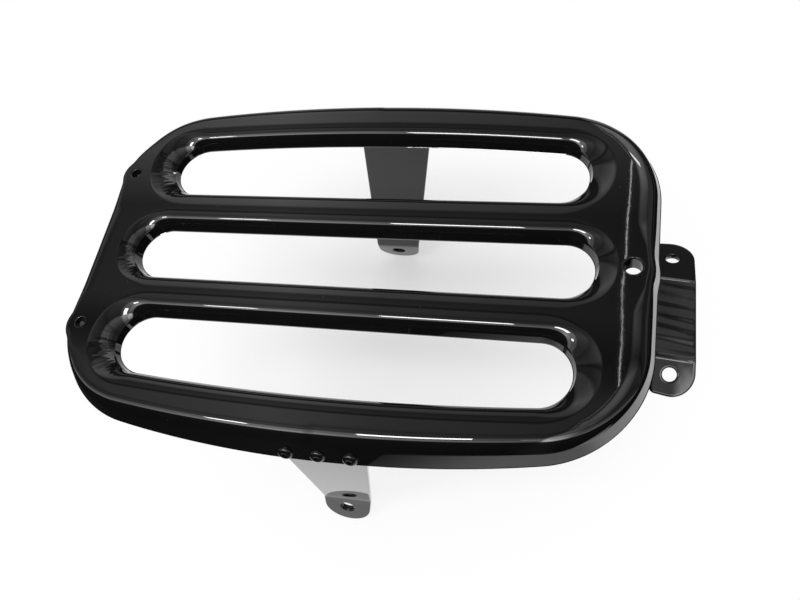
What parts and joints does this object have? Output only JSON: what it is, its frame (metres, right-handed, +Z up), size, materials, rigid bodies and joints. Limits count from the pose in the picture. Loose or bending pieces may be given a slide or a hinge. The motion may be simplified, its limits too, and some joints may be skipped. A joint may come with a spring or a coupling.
{
  "type": "rear fender rack",
  "caption": "Barrel-shaped luggage deck with long slots and rounded rims, on bent side legs and a drilled front strap, that bolts over a motorbike's rear fender.",
  "frame": {"origin": "middle of the deck's top plane", "axes": "+X forwards, towards the fender strap; +Y to the left; +Z up, out of the deck's top"},
  "size_m": [0.3229, 0.2086, 0.1595],
  "materials": {
    "black_coat": "gloss black powder coat",
    "black_fasteners": "gloss black"
  },
  "bodies": {
    "root": {"deck": "black_coat", "right_leg": "black_coat", "left_leg": "black_coat", "fender_strap": "black_coat", "right_leg_screw_1": "black_fasteners", "right_leg_screw_2": "black_fasteners", "right_leg_screw_3": "black_fasteners", "right_leg_nut_1": "black_fasteners", "right_leg_nut_2": "black_fasteners", "right_leg_nut_3": "black_fasteners", "left_leg_screw_1": "black_fasteners", "left_leg_screw_2": "black_fasteners", "left_leg_screw_3": "black_fasteners", "left_leg_nut_1": "black_fasteners", "left_leg_nut_2": "black_fasteners", "left_leg_nut_3": "black_fasteners", "strap_screw_1": "black_fasteners", "strap_screw_2": "black_fasteners"}
  },
  "joints": []
}
